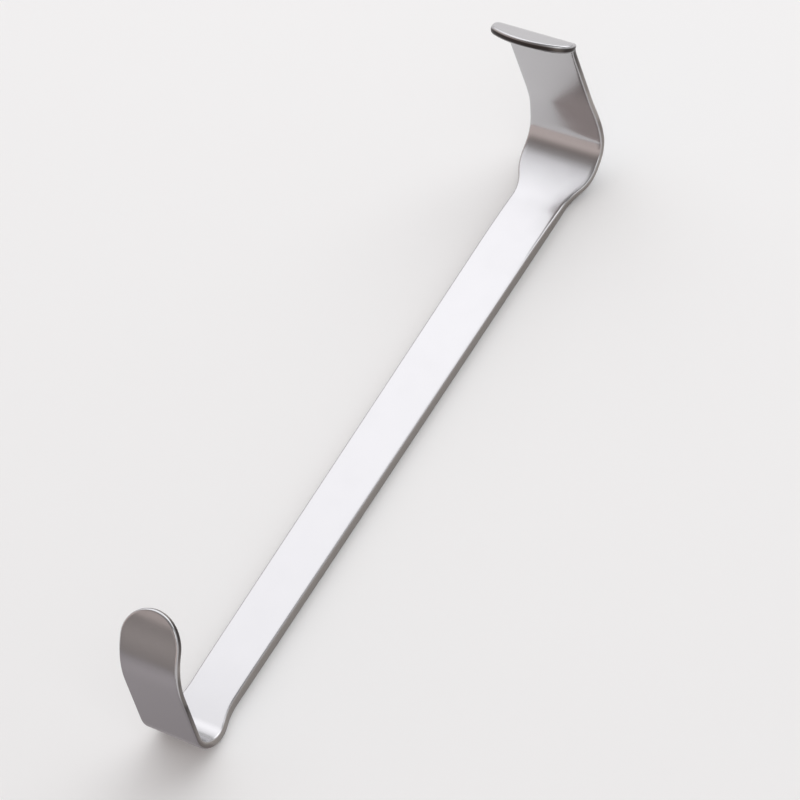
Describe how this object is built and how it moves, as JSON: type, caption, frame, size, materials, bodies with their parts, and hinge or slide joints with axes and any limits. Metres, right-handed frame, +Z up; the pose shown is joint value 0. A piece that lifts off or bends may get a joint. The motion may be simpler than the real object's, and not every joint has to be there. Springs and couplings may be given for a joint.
{
  "type": "handheld surgical retractor",
  "caption": "Double-ended hand retractor: flat steel shank with a narrow round-tipped hook at one end and a wide lipped blade at the other.",
  "frame": {"origin": "on the flat underside of the shank, midway between the outside of the hook and the outside of the blade", "axes": "+X along the shank from the hook to the blade, +Z up on the side that both ends are bent to, Y across"},
  "size_m": [0.19, 0.0224, 0.0506],
  "materials": {
    "steel": "satin-polished stainless steel, edges polished"
  },
  "bodies": {
    "root": {"retractor": "steel"}
  },
  "joints": []
}
